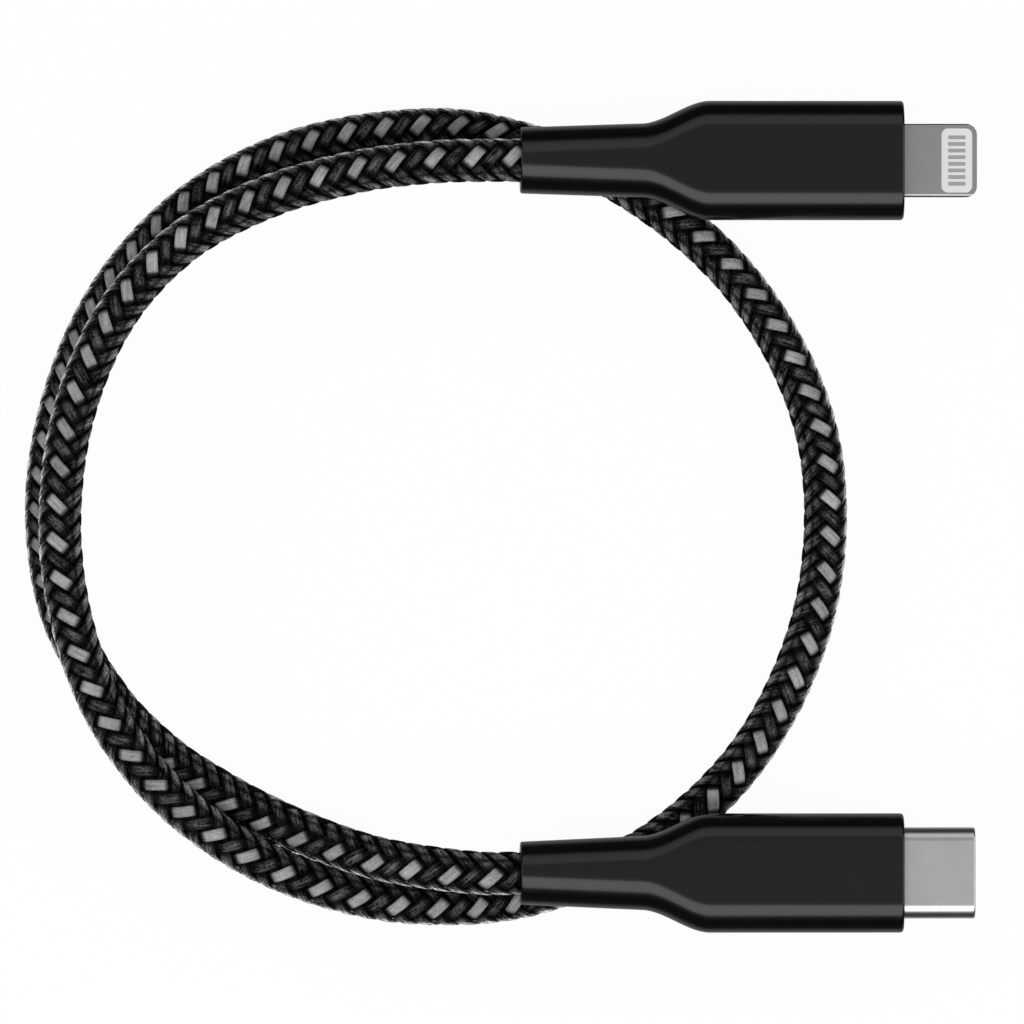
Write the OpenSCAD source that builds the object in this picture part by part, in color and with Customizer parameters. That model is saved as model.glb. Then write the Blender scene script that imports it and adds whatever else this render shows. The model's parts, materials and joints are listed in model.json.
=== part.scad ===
// Short braided charging cable with a USB-C plug and an 8-pin reversible plug.
//
// Each plug is built in a frame of its own: the plug's axis is X, the tip points to +X,
// the housing's flat front face is at x = 0, Y runs across the plug and Z through its thickness.
// The finished object lies on the floor, z = 0. The cord makes one and a half turns and passes
// under both strain reliefs, so each plug lies on the cord, almost level.

/* [Moulded housings] */
// Width of a plug's body
housing_w = 10.8; // [10.4:0.1:13]
// Thickness of a plug's body
housing_t = 6.4; // [5.8:0.1:8]
// Length from the front face to the cord's exit
housing_l = 34.7; // [30:0.1:42]
// Radius of the body's long corners
corner_r = 2.8; // [1.5:0.1:2.8]
// Rounding of the front edge
front_r = 0.3; // [0.2:0.1:0.8]
// Distance from the front face to the end of the full-width body
body_l = 17.5; // [17:0.1:18.5]
// Length of the S-shaped flare behind the body
flare_l = 6.3; // [4:0.1:8]
// Width of the strain relief where it meets the flare
relief_w = 6.7; // [6:0.1:8]
// Thickness of the strain relief where it meets the flare
relief_t = 5.8; // [5.4:0.1:6.4]
// Diameter of the 8-pin plug's strain relief at the cord's exit
eight_pin_relief_d = 6; // [5:0.1:6.4]
// Diameter of the USB-C plug's strain relief at the cord's exit
usb_relief_d = 5.7; // [5:0.1:6.4]
// Wall of a housing above and below its inner mould
housing_wall = 0.6; // [0.4:0.1:0.7]
// Thickness of a housing's front wall
front_wall = 1.2; // [0.8:0.1:1.6]

/* [USB-C plug] */
// Width of the steel shell
shell_w = 8.25; // [8:0.05:8.4]
// Thickness of the steel shell
shell_t = 2.4; // [2.3:0.05:2.6]
// Length of the shell in front of the housing
shell_l = 6.5; // [6:0.05:7]
// Length of the shell inside the housing
shell_root = 4; // [3.5:0.1:4.4]
// Sheet thickness of the shell
shell_wall = 0.3; // [0.2:0.05:0.35]
// Rounding of the shell's mouth
shell_tip_r = 0.2; // [0.1:0.05:0.25]
// Width of the contact block on either side of its socket
socket_side = 0.355; // [0.33:0.005:0.38]
// Height of the socket inside the contact block
socket_t = 0.95; // [0.85:0.05:1.1]
// Depth of the socket from the shell's mouth
socket_depth = 6; // [5.5:0.1:6.2]
// Distance from the shell's mouth to the contact block
block_recess = 0.35; // [0.2:0.05:0.6]
// Sheet thickness of the latch plate
latch_t = 0.2; // [0.1:0.05:0.25]
// Thickness of a contact strip
strip_t = 0.15; // [0.1:0.01:0.18]
// Width of a contact strip
strip_w = 0.25; // [0.15:0.05:0.3]
// Distance between neighbouring contact strips
strip_pitch = 0.5; // [0.45:0.01:0.52]
// Sheet thickness of a ground spring
spring_t = 0.1; // [0.05:0.01:0.12]
// Thickness of the USB-C plug's circuit board
usb_board_t = 0.8; // [0.6:0.05:0.85]
// Length of the narrow end of the USB-C plug's board
usb_board_neck_l = 1.95; // [1.7:0.05:2.2]

/* [8-pin plug] */
// Width of the tab
tab_w = 6.65; // [6:0.05:7]
// Thickness of the tab
tab_t = 1.5; // [1.4:0.05:1.7]
// Length of the tab in front of the housing
tab_l = 6.65; // [6.3:0.05:7]
// Radius of the tab's front corners
tab_corner_r = 1; // [0.5:0.1:1.4]
// Rounding of the tab's long edges
tab_edge_r = 0.3; // [0.1:0.05:0.5]
// Width of the flange that anchors the tab
flange_w = 8.2; // [7.8:0.05:8.3]
// Thickness of the flange that anchors the tab
flange_t = 2.4; // [2.2:0.05:2.5]
// Length of the flange
flange_l = 2.35; // [1.5:0.05:2.6]
// Length of the white insert, along the tab
insert_l = 2.8; // [2.4:0.05:3]
// Corner radius of the white insert
insert_r = 0.6; // [0.3:0.05:0.9]
// Width of the steel rim in front of the insert and beside it
rim_w = 0.42; // [0.3:0.02:0.6]
// Distance between neighbouring contact pads
pad_pitch = 0.6; // [0.5:0.01:0.62]
// Width of a contact pad, across the tab
pad_w = 0.28; // [0.2:0.02:0.34]
// Length of a contact pad, along the tab
pad_l = 1.5; // [1.2:0.05:1.8]
// Height of a contact pad above the insert
pad_proud = 0.02; // [0:0.01:0.05]
// Thickness of the 8-pin plug's circuit board
eight_pin_board_t = 0.6; // [0.5:0.05:0.7]
// Width of the board's tongue inside the tab
tongue_w = 5; // [4.6:0.05:5.1]

/* [Inside both plugs] */
// Width of a circuit board
board_w = 7.2; // [6.4:0.1:7.6]
// Length of the full-width part of the USB-C plug's board; the 8-pin plug's ends level with it
board_l = 6.8; // [6.4:0.1:7.2]
// Sheet thickness of a shield can
can_wall = 0.25; // [0.1:0.05:0.3]
// Distance from the front face to a shield can's front edge
can_front = 1.9; // [1.6:0.1:2.4]
// Distance from a shield can's back edge to the cut end of the cord
can_gap = 0.5; // [0.3:0.1:0.8]
// Length of free wire between a board and the cord
wire_gap = 1.1; // [0.8:0.1:1.4]
// Wall of an inner mould beside the shield can
mould_wall = 0.3; // [0.2:0.05:0.4]
// Length of the crimp ring on the cord
crimp_l = 3; // [2:0.1:3.2]
// Wall of the crimp ring
crimp_wall = 0.25; // [0.15:0.05:0.4]
// Side of a square chip
chip_size = 2.4; // [1.6:0.1:2.6]
// Height of a chip
chip_h = 0.6; // [0.4:0.05:0.65]
// Diameter of an insulated wire
wire_d = 0.64; // [0.4:0.02:0.7]

/* [Cord] */
// Diameter of the braided cord
cord_d = 3.8; // [3.2:0.1:3.8]

/* [Pose on the floor] */
// Distance between the two plugs' axes
plug_spacing = 64.5; // [60:0.5:70]
// Slope of both plugs, tip down
lean = 2; // [1:0.1:4]

/* [Hidden] */
// Gap left all round between pieces that are nested or slid together
fit = 0.02;
// Free play around the springs that bend: the latch arms and the spring fingers
spring_play = 0.05;

// Length by which a cut runs past the face it opens
over = 1;

// --- USB-C plug, along its axis ---
block_front = shell_l - block_recess;
block_w = shell_w - 2 * shell_wall - 2 * fit;
block_t = shell_t - 2 * shell_wall - 2 * fit;
socket_back = shell_l - socket_depth;
socket_w = block_w - 2 * socket_side;
// Flat tails of the strips lie on the board's two faces, so its half thickness sets their height
strip_z = usb_board_t / 2;
strip_tail_l = 1.6;
strip_back = shell_root + strip_tail_l;
strip_recess = 1.1;
strip_tip = block_front - strip_recess;
// From the tip backwards: flat nose, slope, crest and slope of the bump
strip_nose = 0.5;
strip_slope = 0.4;
strip_crest = 0.4;
strip_bump = 0.08;
// Filled positions, 0 to 11, of a plug that carries power, ground and USB 2.0 data
upper_positions = [0, 3, 4, 5, 6, 8, 11];
lower_positions = [0, 3, 4, 8, 11];
last_position = 11;
// Latch: a plate with two legs beside the board and two arms beside the socket
latch_arm_w = 0.25;
latch_arm_y = socket_w / 2 + spring_play;
latch_leg_w = 0.43;
latch_leg_step = 0.55;
latch_leg_joint = 0.8;
latch_plate_w = socket_w - 2 * latch_leg_step;
latch_plate_inset = 0.6;
latch_plate_back = shell_root - latch_plate_inset;
latch_plate_front = 0.3;
latch_shoulder_l = 1.3;
latch_shoulder_back = latch_plate_front + latch_shoulder_l;
hook_depth = 0.3;
hook_l = 0.9;
hook_slope = 0.25;
hook_flat = 0.2;
// Ground spring: as wide as the flat of the block
spring_w = block_w - block_t;
spring_recess = 3.2;
spring_back = block_front - spring_recess;
spring_base_l = 1.1;
finger_w = 0.9;
finger_count = 4;
// Where a finger starts to dip, where it touches and where it ends, from its root
finger_dip = 0.9;
finger_touch = 1.5;
finger_l = 1.75;
finger_depth = 0.36;
finger_tip_depth = 0.29;
finger_pitch = (spring_w - finger_w) / (finger_count - 1);
usb_board_gap = 0.05;
usb_neck_back = shell_root + usb_board_gap + usb_board_neck_l;

// --- 8-pin plug, along its axis ---
insert_w = tab_w - 2 * rim_w;
insert_front = tab_l - rim_w;
insert_back = insert_front - insert_l;
flange_back = front_wall + fit + flange_l;
tab_tail_l = 1.4;
tab_back = flange_back + tab_tail_l;
tongue_recess = 0.35;
tongue_tip = insert_front - tongue_recess;
pad_count = 8;
pad_centre = (insert_front + insert_back) / 2;
detent_r = 0.4;
detent_depth = 0.2;
detent_l = 1;
detent_back = 1.6;

// --- pieces inside both plugs, from the board backwards ---
board_back = usb_neck_back + board_l;
cord_cut = board_back + wire_gap;
can_clearance = 2 * (can_wall + fit);
can_back = cord_cut - can_gap;
mould_end = 0.1;
mould_back = cord_cut + crimp_l + mould_end;
chip_inset = 2.4;
chip_back = board_back - chip_inset;
capacitor_l = 1;
capacitor_w = 0.5;
capacitor_h = 0.35;
capacitor_count = 3;
capacitor_pitch = 1.6;
capacitor_gap = 0.5;
capacitor_back = chip_back - chip_size - capacitor_gap;
wire_spread = 2.1;
data_spread = 1.3;
wire_lap = 1.4;
wire_end = board_back - wire_lap;

// --- resolution ---
$fn = 48;
corner_steps = 10;
flare_steps = 12;
edge_steps = 5;
cord_sides = 8;
rings_per_span = 2;

// --- route of the cord around the loop's centre ---
loop_x = -5.876;
loop_y = 0.04;
// From the loop's centre to the cord's far side, away from the plugs
loop_reach = 37.228;
// Straight stretch in line with a plug before the cord bends
lead_out = 3.5;
// Each row: angle in degrees, radius and height of the cord's centre
route = [
    [91, 32.05, 7.2], [103, 32, 6.7], [118, 32.7, 6], [133, 33.8, 5.65], [148, 34.25, 5.6],
    [164, 34.1, 5.6], [180, 34.05, 5.65], [195, 34.3, 5.75], [210, 34.8, 5.8], [224, 35, 5.3],
    [238, 35, 4.3], [252, 35, 3], [267, 35.1, 2.1], [284, 35.35, 1.92], [304, 35.65, 1.9],
    [325, 35.6, 1.9], [348, 35.37, 1.9], [372, 35.34, 1.9], [396, 34.83, 1.9], [420, 34.6, 1.9],
    [442, 34.9, 1.9], [458, 35.1, 1.9], [474, 35.6, 1.9], [490, 35.9, 1.9], [506, 35.8, 1.9],
    [522, 35.45, 1.9], [538, 35.35, 1.9], [554, 35.1, 1.9], [569, 33.95, 1.9], [581, 32.8, 1.91],
    [591, 31.8, 1.98], [601, 31.24, 2.6], [611, 31.12, 4.2], [620, 31.4, 5.8], [629, 31.8, 6.8],
];

// --- pose: the whole cable is centred on x = 0 and both strain reliefs lie on the cord ---
front_x = loop_reach - loop_x - tab_l * cos(lean) - tab_t / 2 * sin(lean);
// Distance from a plug's front face to where the cord crosses under it, and the gap left there
crossing_back = 28;
crossing_gap = 0.13;
front_z = cord_d + relief_t / 2 + crossing_gap - crossing_back * sin(lean);
eight_pin_y = plug_spacing / 2;
usb_y = -plug_spacing / 2;

BLACK = [0.09, 0.09, 0.1];
STEEL = [0.72, 0.72, 0.73];
DARK_STEEL = [0.5, 0.5, 0.52];
WHITE = [0.93, 0.93, 0.92];
GREY = [0.45, 0.45, 0.46];
GOLD = [0.86, 0.68, 0.3];
CLEAR = [0.86, 0.86, 0.8];
BOARD = [0.06, 0.3, 0.16];

// ---------- placing ----------

module usb_place() {
    translate([front_x, usb_y, front_z]) rotate([0, lean, 0]) children();
}

module eight_pin_place() {
    translate([front_x, eight_pin_y, front_z]) rotate([0, lean, 0]) children();
}

// Extrudes a cross-section (across, up) along the plug's axis
module along_x(from, to) {
    translate([from, 0, 0]) rotate([90, 0, 90]) linear_extrude(to - from) children();
}

// Extrudes a side profile (along, up) across the plug, centred on y
module across_y(y, width) {
    translate([0, y + width / 2, 0]) rotate([90, 0, 0]) linear_extrude(width) children();
}

// Extrudes a plan outline (along, across) through the plug's thickness
module through_z(z0, z1) {
    translate([0, 0, z0]) linear_extrude(z1 - z0) children();
}

// ---------- cross-sections ----------

module stadium(w, t) {
    square([w - t, t], center = true);
    for (side = [-1, 1]) translate([side * (w - t) / 2, 0]) circle(d = t);
}

module rounded_rect(w, t, r) {
    square([w - 2 * r, t], center = true);
    square([w, t - 2 * r], center = true);
    for (side = [-1, 1], level = [-1, 1])
        translate([side * (w / 2 - r), level * (t / 2 - r)]) circle(r);
}

// A bar of stadium section with its front edge rounded
module rounded_stadium_bar(w, t, from, to, tip_r) {
    module half_profile() {
        translate([0, from]) square([t / 2, to - from - tip_r]);
        translate([0, from]) square([t / 2 - tip_r, to - from]);
        translate([t / 2 - tip_r, to - tip_r]) circle(tip_r);
    }
    flat = w - t;
    translate([0, -flat / 2, 0]) rotate([-90, 0, 0]) rotate([0, 0, -90]) linear_extrude(flat) {
        half_profile();
        mirror([1, 0]) half_profile();
    }
    for (side = [-1, 1])
        translate([0, side * flat / 2, 0]) rotate([0, 90, 0]) rotate_extrude() half_profile();
}

// ---------- moulded housing: a loft from the round exit to the flat body ----------

function blend(a, b, share) = a + (b - a) * share;
function ease(share) = share * share * (3 - 2 * share);

// Half width, half thickness and corner radius at a distance behind the front face
function relief_section(back, relief_d) =
    let (share = (back - body_l - flare_l) / (housing_l - body_l - flare_l))
    [blend(relief_w, relief_d, share) / 2, blend(relief_t, relief_d, share) / 2,
     blend(relief_t, relief_d, share) / 2];

function flare_section(share) =
    let (s = ease(share))
    [blend(relief_w, housing_w, s) / 2, blend(relief_t, housing_t, s) / 2,
     blend(relief_t / 2, corner_r, s)];

function front_section(turn) =
    let (inset = front_r * (1 - cos(turn)))
    [housing_w / 2 - inset, housing_t / 2 - inset, corner_r - inset];

// The outline of one section: four corner arcs, each seen from its own corner's centre
function ring(x, section) = [
    for (corner = [0:3], step = [0:corner_steps - 1])
    let (turn = 90 * corner + 90 * (step + 0.5) / corner_steps,
         y_side = (corner == 0 || corner == 3) ? 1 : -1,
         z_side = corner < 2 ? 1 : -1)
    [x, y_side * (section[0] - section[2]) + section[2] * cos(turn),
     z_side * (section[1] - section[2]) + section[2] * sin(turn)]
];

function housing_rings(relief_d) = concat(
    [ring(-housing_l, relief_section(housing_l, relief_d))],
    [for (step = [0:flare_steps])
        ring(-body_l - flare_l * (1 - step / flare_steps), flare_section(step / flare_steps))],
    [for (step = [0:edge_steps])
        let (turn = 90 * step / edge_steps)
        ring(front_r * (sin(turn) - 1), front_section(turn))]
);

// Joins a list of rings, each with the same number of points, into one closed solid
module loft(rings) {
    sides = len(rings[0]);
    last = len(rings) - 1;
    walls = [
        for (level = [0:last - 1], side = [0:sides - 1])
        let (a = level * sides + side, b = level * sides + (side + 1) % sides)
        each [[a, a + sides, b], [b, a + sides, b + sides]]
    ];
    back_cap = [[for (side = [0:sides - 1]) side]];
    front_cap = [[for (side = [sides - 1:-1:0]) last * sides + side]];
    polyhedron([for (points = rings) each points], concat(walls, back_cap, front_cap));
}

// Section of an inner mould beside the plug's core; grown by a gap, it is the housing's hollow
module mould_section(core_w, gap) {
    rounded_rect(core_w + can_clearance + 2 * (fit + mould_wall + gap),
                 housing_t - 2 * (housing_wall + fit - gap), corner_r - housing_wall - fit + gap);
}

// The outer mould around an inner mould, with the plug's own mouth section as its child
module housing(relief_d, core_w) {
    difference() {
        loft(housing_rings(relief_d));
        along_x(-mould_back, -front_wall) mould_section(core_w, fit);
        along_x(-front_wall - over, over) children();
        along_x(-housing_l - over, -mould_back + over) circle(d = cord_d + 2 * fit);
    }
}

// ---------- pieces that both plugs share ----------

// The hard mould that fills the space between a housing and the shield can
module inner_mould(core_w, core_t) {
    difference() {
        along_x(-mould_back + fit, -front_wall - fit) mould_section(core_w, 0);
        along_x(-can_front - fit, 0) stadium(core_w + 2 * fit, core_t + 2 * fit);
        along_x(-can_back - fit, -can_front + fit)
            stadium(core_w + can_clearance + 2 * fit, core_t + can_clearance + 2 * fit);
        along_x(-mould_back - over, -can_back) circle(d = cord_d + 2 * crimp_wall + 4 * fit);
    }
}

// One half of the two-piece shield can: level 1 is the upper half, -1 the lower one
module shield_can(core_w, core_t, level) {
    difference() {
        along_x(-can_back, -can_front) stadium(core_w + can_clearance, core_t + can_clearance);
        along_x(-can_back - over, -can_front + over) stadium(core_w + 2 * fit, core_t + 2 * fit);
        translate([-can_back - over, -core_w, level > 0 ? -core_w : 0])
            cube([can_back + over, 2 * core_w, core_w]);
    }
}

module crimp_ring() {
    difference() {
        along_x(-cord_cut - crimp_l, -cord_cut) circle(d = cord_d + 2 * crimp_wall + 2 * fit);
        along_x(-cord_cut - crimp_l - over, 0) circle(d = cord_d + 2 * fit);
    }
}

module cord_end() {
    along_x(-housing_l, -cord_cut) circle(d = cord_d);
}

// A wire from the cord's cut end onto a face of the board: level 1 is the top, -1 the underside
module wire(y, level, board_t) {
    translate([0, y, level * (board_t / 2 + wire_d / 2 + fit)])
        along_x(-cord_cut, -wire_end) circle(d = wire_d, $fn = 24);
}

module chip(board_t) {
    translate([-chip_back, -chip_size / 2, board_t / 2]) cube([chip_size, chip_size, chip_h]);
}

module capacitors(board_t) {
    for (i = [0:capacitor_count - 1])
        translate([-capacitor_back, (i - (capacitor_count - 1) / 2) * capacitor_pitch
                   - capacitor_w / 2, board_t / 2])
            cube([capacitor_l, capacitor_w, capacitor_h]);
}

// ---------- USB-C plug ----------

module usb_c_housing() {
    color(BLACK) usb_place()
        housing(usb_relief_d, shell_w) stadium(shell_w + 2 * fit, shell_t + 2 * fit);
}

module usb_c_inner_mould() {
    color(CLEAR) usb_place() inner_mould(shell_w, shell_t);
}

module usb_c_shell() {
    color(STEEL) usb_place() difference() {
        rounded_stadium_bar(shell_w, shell_t, -shell_root, shell_l, shell_tip_r);
        along_x(-shell_root - over, shell_l + over)
            stadium(shell_w - 2 * shell_wall, shell_t - 2 * shell_wall);
    }
}

// Outline of the latch plate, one half; the other half is its mirror image
module latch_outline(play) {
    plate_side = latch_plate_w / 2 + spring_play;
    // plate and the shoulder that carries the arm
    translate([-latch_plate_back - play, 0])
        square([latch_plate_back - latch_plate_front + play, plate_side + play]);
    translate([-latch_shoulder_back - play, 0])
        square([latch_shoulder_l + 2 * play, latch_arm_y + latch_arm_w + play]);
    // arm
    translate([-latch_shoulder_back, latch_arm_y - play])
        square([latch_shoulder_back + strip_tip + play, latch_arm_w + 2 * play]);
    // leg beside the board
    translate([-strip_back, plate_side - play])
        square([strip_back - latch_plate_back + latch_leg_joint, latch_leg_w + 2 * play]);
}

module usb_c_latch_plate() {
    hook_y = latch_arm_y - hook_depth;
    arm_middle = latch_arm_y + latch_arm_w / 2;
    color(DARK_STEEL) usb_place() through_z(-latch_t / 2, latch_t / 2)
        for (side = [0, 1]) mirror([0, side]) {
            latch_outline(0);
            // hook that snaps into the side of a socket's tongue
            polygon([[strip_tip - hook_l, arm_middle], [strip_tip - hook_slope - hook_flat, hook_y],
                     [strip_tip - hook_slope, hook_y], [strip_tip, arm_middle]]);
        }
}

// The tunnels and grooves for every contact position, filled or not
module strip_tunnels() {
    for (i = [0:last_position], level = [0, 1])
        mirror([0, 0, level])
            translate([-shell_root - over, (i - last_position / 2) * strip_pitch - strip_w / 2 - fit,
                       strip_z - fit])
            cube([shell_root + over + strip_tip + spring_play, strip_w + 2 * fit,
                  strip_t + 2 * fit]);
}

// A pocket for a ground spring in the block's outer face, with a window for each finger tip
module spring_pocket() {
    base = spring_back + spring_base_l;
    translate([spring_back - fit, -spring_w / 2 - fit, block_t / 2 - spring_t - fit])
        cube([spring_base_l + finger_l + 2 * fit, spring_w + 2 * fit, shell_t]);
    for (i = [0:finger_count - 1])
        translate([base + finger_dip - spring_play, i * finger_pitch - spring_w / 2 - spring_play, 0])
            cube([finger_l - finger_dip + 2 * spring_play, finger_w + 2 * spring_play, shell_t]);
}

module usb_c_contact_block() {
    color(GREY) usb_place() difference() {
        along_x(-shell_root, block_front) stadium(block_w, block_t);
        along_x(socket_back, shell_l) square([socket_w, socket_t], center = true);
        strip_tunnels();
        for (level = [0, 1]) mirror([0, 0, level]) spring_pocket();
        through_z(-latch_t / 2 - fit, latch_t / 2 + fit)
            for (side = [0, 1]) mirror([0, side]) {
                latch_outline(fit);
                translate([-latch_shoulder_back - fit, socket_w / 2])
                    square([latch_shoulder_back + strip_tip + spring_play, shell_w]);
            }
    }
}

// One contact: a flat strip with a bump that meets the socket's tongue
module contact_strip(y) {
    nose = strip_tip - strip_nose;
    crest_front = nose - strip_slope;
    crest_back = crest_front - strip_crest;
    foot = crest_back - strip_slope;
    // the strip's lower edge from back to tip; its upper edge is the same, one thickness higher
    edge = [[-strip_back, strip_z], [foot, strip_z], [crest_back, strip_z - strip_bump],
            [crest_front, strip_z - strip_bump], [nose, strip_z], [strip_tip, strip_z]];
    across_y(y, strip_w)
        polygon(concat(edge, [for (i = [len(edge) - 1:-1:0]) edge[i] + [0, strip_t]]));
}

module contact_row(positions) {
    for (i = positions) contact_strip((i - last_position / 2) * strip_pitch);
}

module usb_c_upper_contacts() {
    color(GOLD) usb_place() contact_row(upper_positions);
}

module usb_c_lower_contacts() {
    color(GOLD) usb_place() mirror([0, 0, 1]) contact_row(lower_positions);
}

// A sheet spring: a flat base with four fingers that dip into the socket
module ground_spring() {
    top = block_t / 2;
    base = spring_back + spring_base_l;
    edge = [[base, top], [base + finger_dip, top], [base + finger_touch, top - finger_depth],
            [base + finger_l, top - finger_tip_depth]];
    through_z(top - spring_t, top)
        translate([spring_back, -spring_w / 2]) square([spring_base_l, spring_w]);
    for (i = [0:finger_count - 1])
        across_y(i * finger_pitch - spring_w / 2 + finger_w / 2, finger_w)
            polygon(concat(edge, [for (j = [len(edge) - 1:-1:0]) edge[j] - [0, spring_t]]));
}

module usb_c_upper_ground_spring() {
    color(STEEL) usb_place() ground_spring();
}

module usb_c_lower_ground_spring() {
    color(STEEL) usb_place() mirror([0, 0, 1]) ground_spring();
}

module usb_c_board() {
    color(BOARD) usb_place() through_z(-usb_board_t / 2, usb_board_t / 2) {
        translate([-board_back, -board_w / 2]) square([board_l, board_w]);
        translate([-usb_neck_back, -latch_plate_w / 2]) square([usb_board_neck_l, latch_plate_w]);
    }
}

module usb_c_chip() {
    color(BLACK) usb_place() chip(usb_board_t);
}

module usb_c_capacitors() {
    color(CLEAR) usb_place() capacitors(usb_board_t);
}

module usb_c_upper_shield_can() {
    color(STEEL) usb_place() shield_can(shell_w, shell_t, 1);
}

module usb_c_lower_shield_can() {
    color(DARK_STEEL) usb_place() shield_can(shell_w, shell_t, -1);
}

module usb_c_crimp_ring() {
    color(STEEL) usb_place() crimp_ring();
}

module usb_c_cord_end() {
    color(BLACK) usb_place() cord_end();
}

module usb_c_power_wire() {
    color("firebrick") usb_place() wire(wire_spread / 2, 1, usb_board_t);
}

module usb_c_ground_wire() {
    color("dimgray") usb_place() wire(-wire_spread / 2, 1, usb_board_t);
}

module usb_c_data_plus_wire() {
    color("seagreen") usb_place() wire(data_spread / 2, -1, usb_board_t);
}

module usb_c_data_minus_wire() {
    color("white") usb_place() wire(-data_spread / 2, -1, usb_board_t);
}

// ---------- 8-pin plug ----------

module eight_pin_housing() {
    color(BLACK) eight_pin_place() housing(eight_pin_relief_d, flange_w)
        rounded_rect(tab_w + 2 * fit, tab_t + 2 * fit, tab_edge_r + fit);
}

module eight_pin_inner_mould() {
    color(CLEAR) eight_pin_place() inner_mould(flange_w, flange_t);
}

// Plan of the tab: straight sides and two rounded front corners
module tab_plan() {
    translate([-tab_back, -tab_w / 2]) square([tab_back + tab_l - tab_corner_r, tab_w]);
    translate([0, -tab_w / 2 + tab_corner_r]) square([tab_l, tab_w - 2 * tab_corner_r]);
    for (side = [-1, 1])
        translate([tab_l - tab_corner_r, side * (tab_w / 2 - tab_corner_r)]) circle(tab_corner_r);
}

// Plan of the window in the tab, or of the insert that fills it
module window_plan(gap) {
    translate([(insert_front + insert_back) / 2, 0])
        rounded_rect(insert_l + 2 * gap, insert_w + 2 * gap, insert_r + gap);
}

module eight_pin_tab() {
    color(STEEL) eight_pin_place() difference() {
        union() {
            intersection() {
                along_x(-tab_back, tab_l) rounded_rect(tab_w, tab_t, tab_edge_r);
                through_z(-tab_t, tab_t) tab_plan();
            }
            along_x(-flange_back, -front_wall - fit) stadium(flange_w, flange_t);
        }
        through_z(-tab_t, tab_t) window_plan(fit);
        // slot for the board's tongue
        translate([-tab_back - over, -tongue_w / 2 - fit, -eight_pin_board_t / 2 - fit])
            cube([tab_back + over + insert_back + insert_r, tongue_w + 2 * fit,
                  eight_pin_board_t + 2 * fit]);
        // detents that a socket's side springs snap into
        for (side = [-1, 1])
            translate([0, side * (tab_w / 2 + detent_r - detent_depth), 0])
                along_x(detent_back, detent_back + detent_l) circle(detent_r, $fn = 24);
    }
}

module eight_pin_insert() {
    color(WHITE) eight_pin_place() difference() {
        through_z(-tab_t / 2, tab_t / 2) window_plan(0);
        translate([0, -tongue_w / 2 - fit, -eight_pin_board_t / 2 - fit])
            cube([tongue_tip + fit, tongue_w + 2 * fit, eight_pin_board_t + 2 * fit]);
        for (i = [0:pad_count - 1])
            translate([pad_centre - pad_l / 2 - fit,
                       (i - (pad_count - 1) / 2) * pad_pitch - pad_w / 2 - fit, -tab_t])
                cube([pad_l + 2 * fit, pad_w + 2 * fit, 2 * tab_t]);
    }
}

module pad_row() {
    for (i = [0:pad_count - 1])
        translate([pad_centre - pad_l / 2, (i - (pad_count - 1) / 2) * pad_pitch - pad_w / 2,
                   eight_pin_board_t / 2])
            cube([pad_l, pad_w, tab_t / 2 + pad_proud - eight_pin_board_t / 2]);
}

module eight_pin_upper_contacts() {
    color(GREY) eight_pin_place() pad_row();
}

module eight_pin_lower_contacts() {
    color(GREY) eight_pin_place() mirror([0, 0, 1]) pad_row();
}

module eight_pin_board() {
    color(BOARD) eight_pin_place() through_z(-eight_pin_board_t / 2, eight_pin_board_t / 2) {
        translate([-board_back, -board_w / 2]) square([board_back - tab_back - fit, board_w]);
        translate([-board_back, -tongue_w / 2]) square([board_back + tongue_tip, tongue_w]);
    }
}

module eight_pin_chip() {
    color(BLACK) eight_pin_place() chip(eight_pin_board_t);
}

module eight_pin_capacitors() {
    color(CLEAR) eight_pin_place() capacitors(eight_pin_board_t);
}

module eight_pin_upper_shield_can() {
    color(STEEL) eight_pin_place() shield_can(flange_w, flange_t, 1);
}

module eight_pin_lower_shield_can() {
    color(DARK_STEEL) eight_pin_place() shield_can(flange_w, flange_t, -1);
}

module eight_pin_crimp_ring() {
    color(STEEL) eight_pin_place() crimp_ring();
}

module eight_pin_cord_end() {
    color(BLACK) eight_pin_place() cord_end();
}

module eight_pin_power_wire() {
    color("firebrick") eight_pin_place() wire(wire_spread / 2, 1, eight_pin_board_t);
}

module eight_pin_ground_wire() {
    color("dimgray") eight_pin_place() wire(-wire_spread / 2, 1, eight_pin_board_t);
}

module eight_pin_data_plus_wire() {
    color("seagreen") eight_pin_place() wire(data_spread / 2, -1, eight_pin_board_t);
}

module eight_pin_data_minus_wire() {
    color("white") eight_pin_place() wire(-data_spread / 2, -1, eight_pin_board_t);
}

// ---------- cord ----------

// A point on a plug's axis, at a distance behind its front face
function on_axis(y, back) = [front_x - back * cos(lean), y, front_z + back * sin(lean)];

function from_polar(row) = [loop_x + row[1] * cos(row[0]), loop_y + row[1] * sin(row[0]), row[2]];

cord_points = concat(
    [on_axis(eight_pin_y, housing_l), on_axis(eight_pin_y, housing_l + lead_out)],
    [for (row = route) from_polar(row)],
    [on_axis(usb_y, housing_l + lead_out), on_axis(usb_y, housing_l)]
);

// A Catmull-Rom curve through the points, with the first and last chords carried on
function span_point(p, t) = 0.5 * (2 * p[1] + (p[2] - p[0]) * t
    + (2 * p[0] - 5 * p[1] + 4 * p[2] - p[3]) * t * t
    + (3 * p[1] - p[0] - 3 * p[2] + p[3]) * t * t * t);
function span_slope(p, t) = 0.5 * ((p[2] - p[0])
    + 2 * (2 * p[0] - 5 * p[1] + 4 * p[2] - p[3]) * t
    + 3 * (3 * p[1] - p[0] - 3 * p[2] + p[3]) * t * t);

function carried_on(points) = let (last = len(points) - 1)
    concat([2 * points[0] - points[1]], points, [2 * points[last] - points[last - 1]]);

function unit(v) = v / norm(v);

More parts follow.
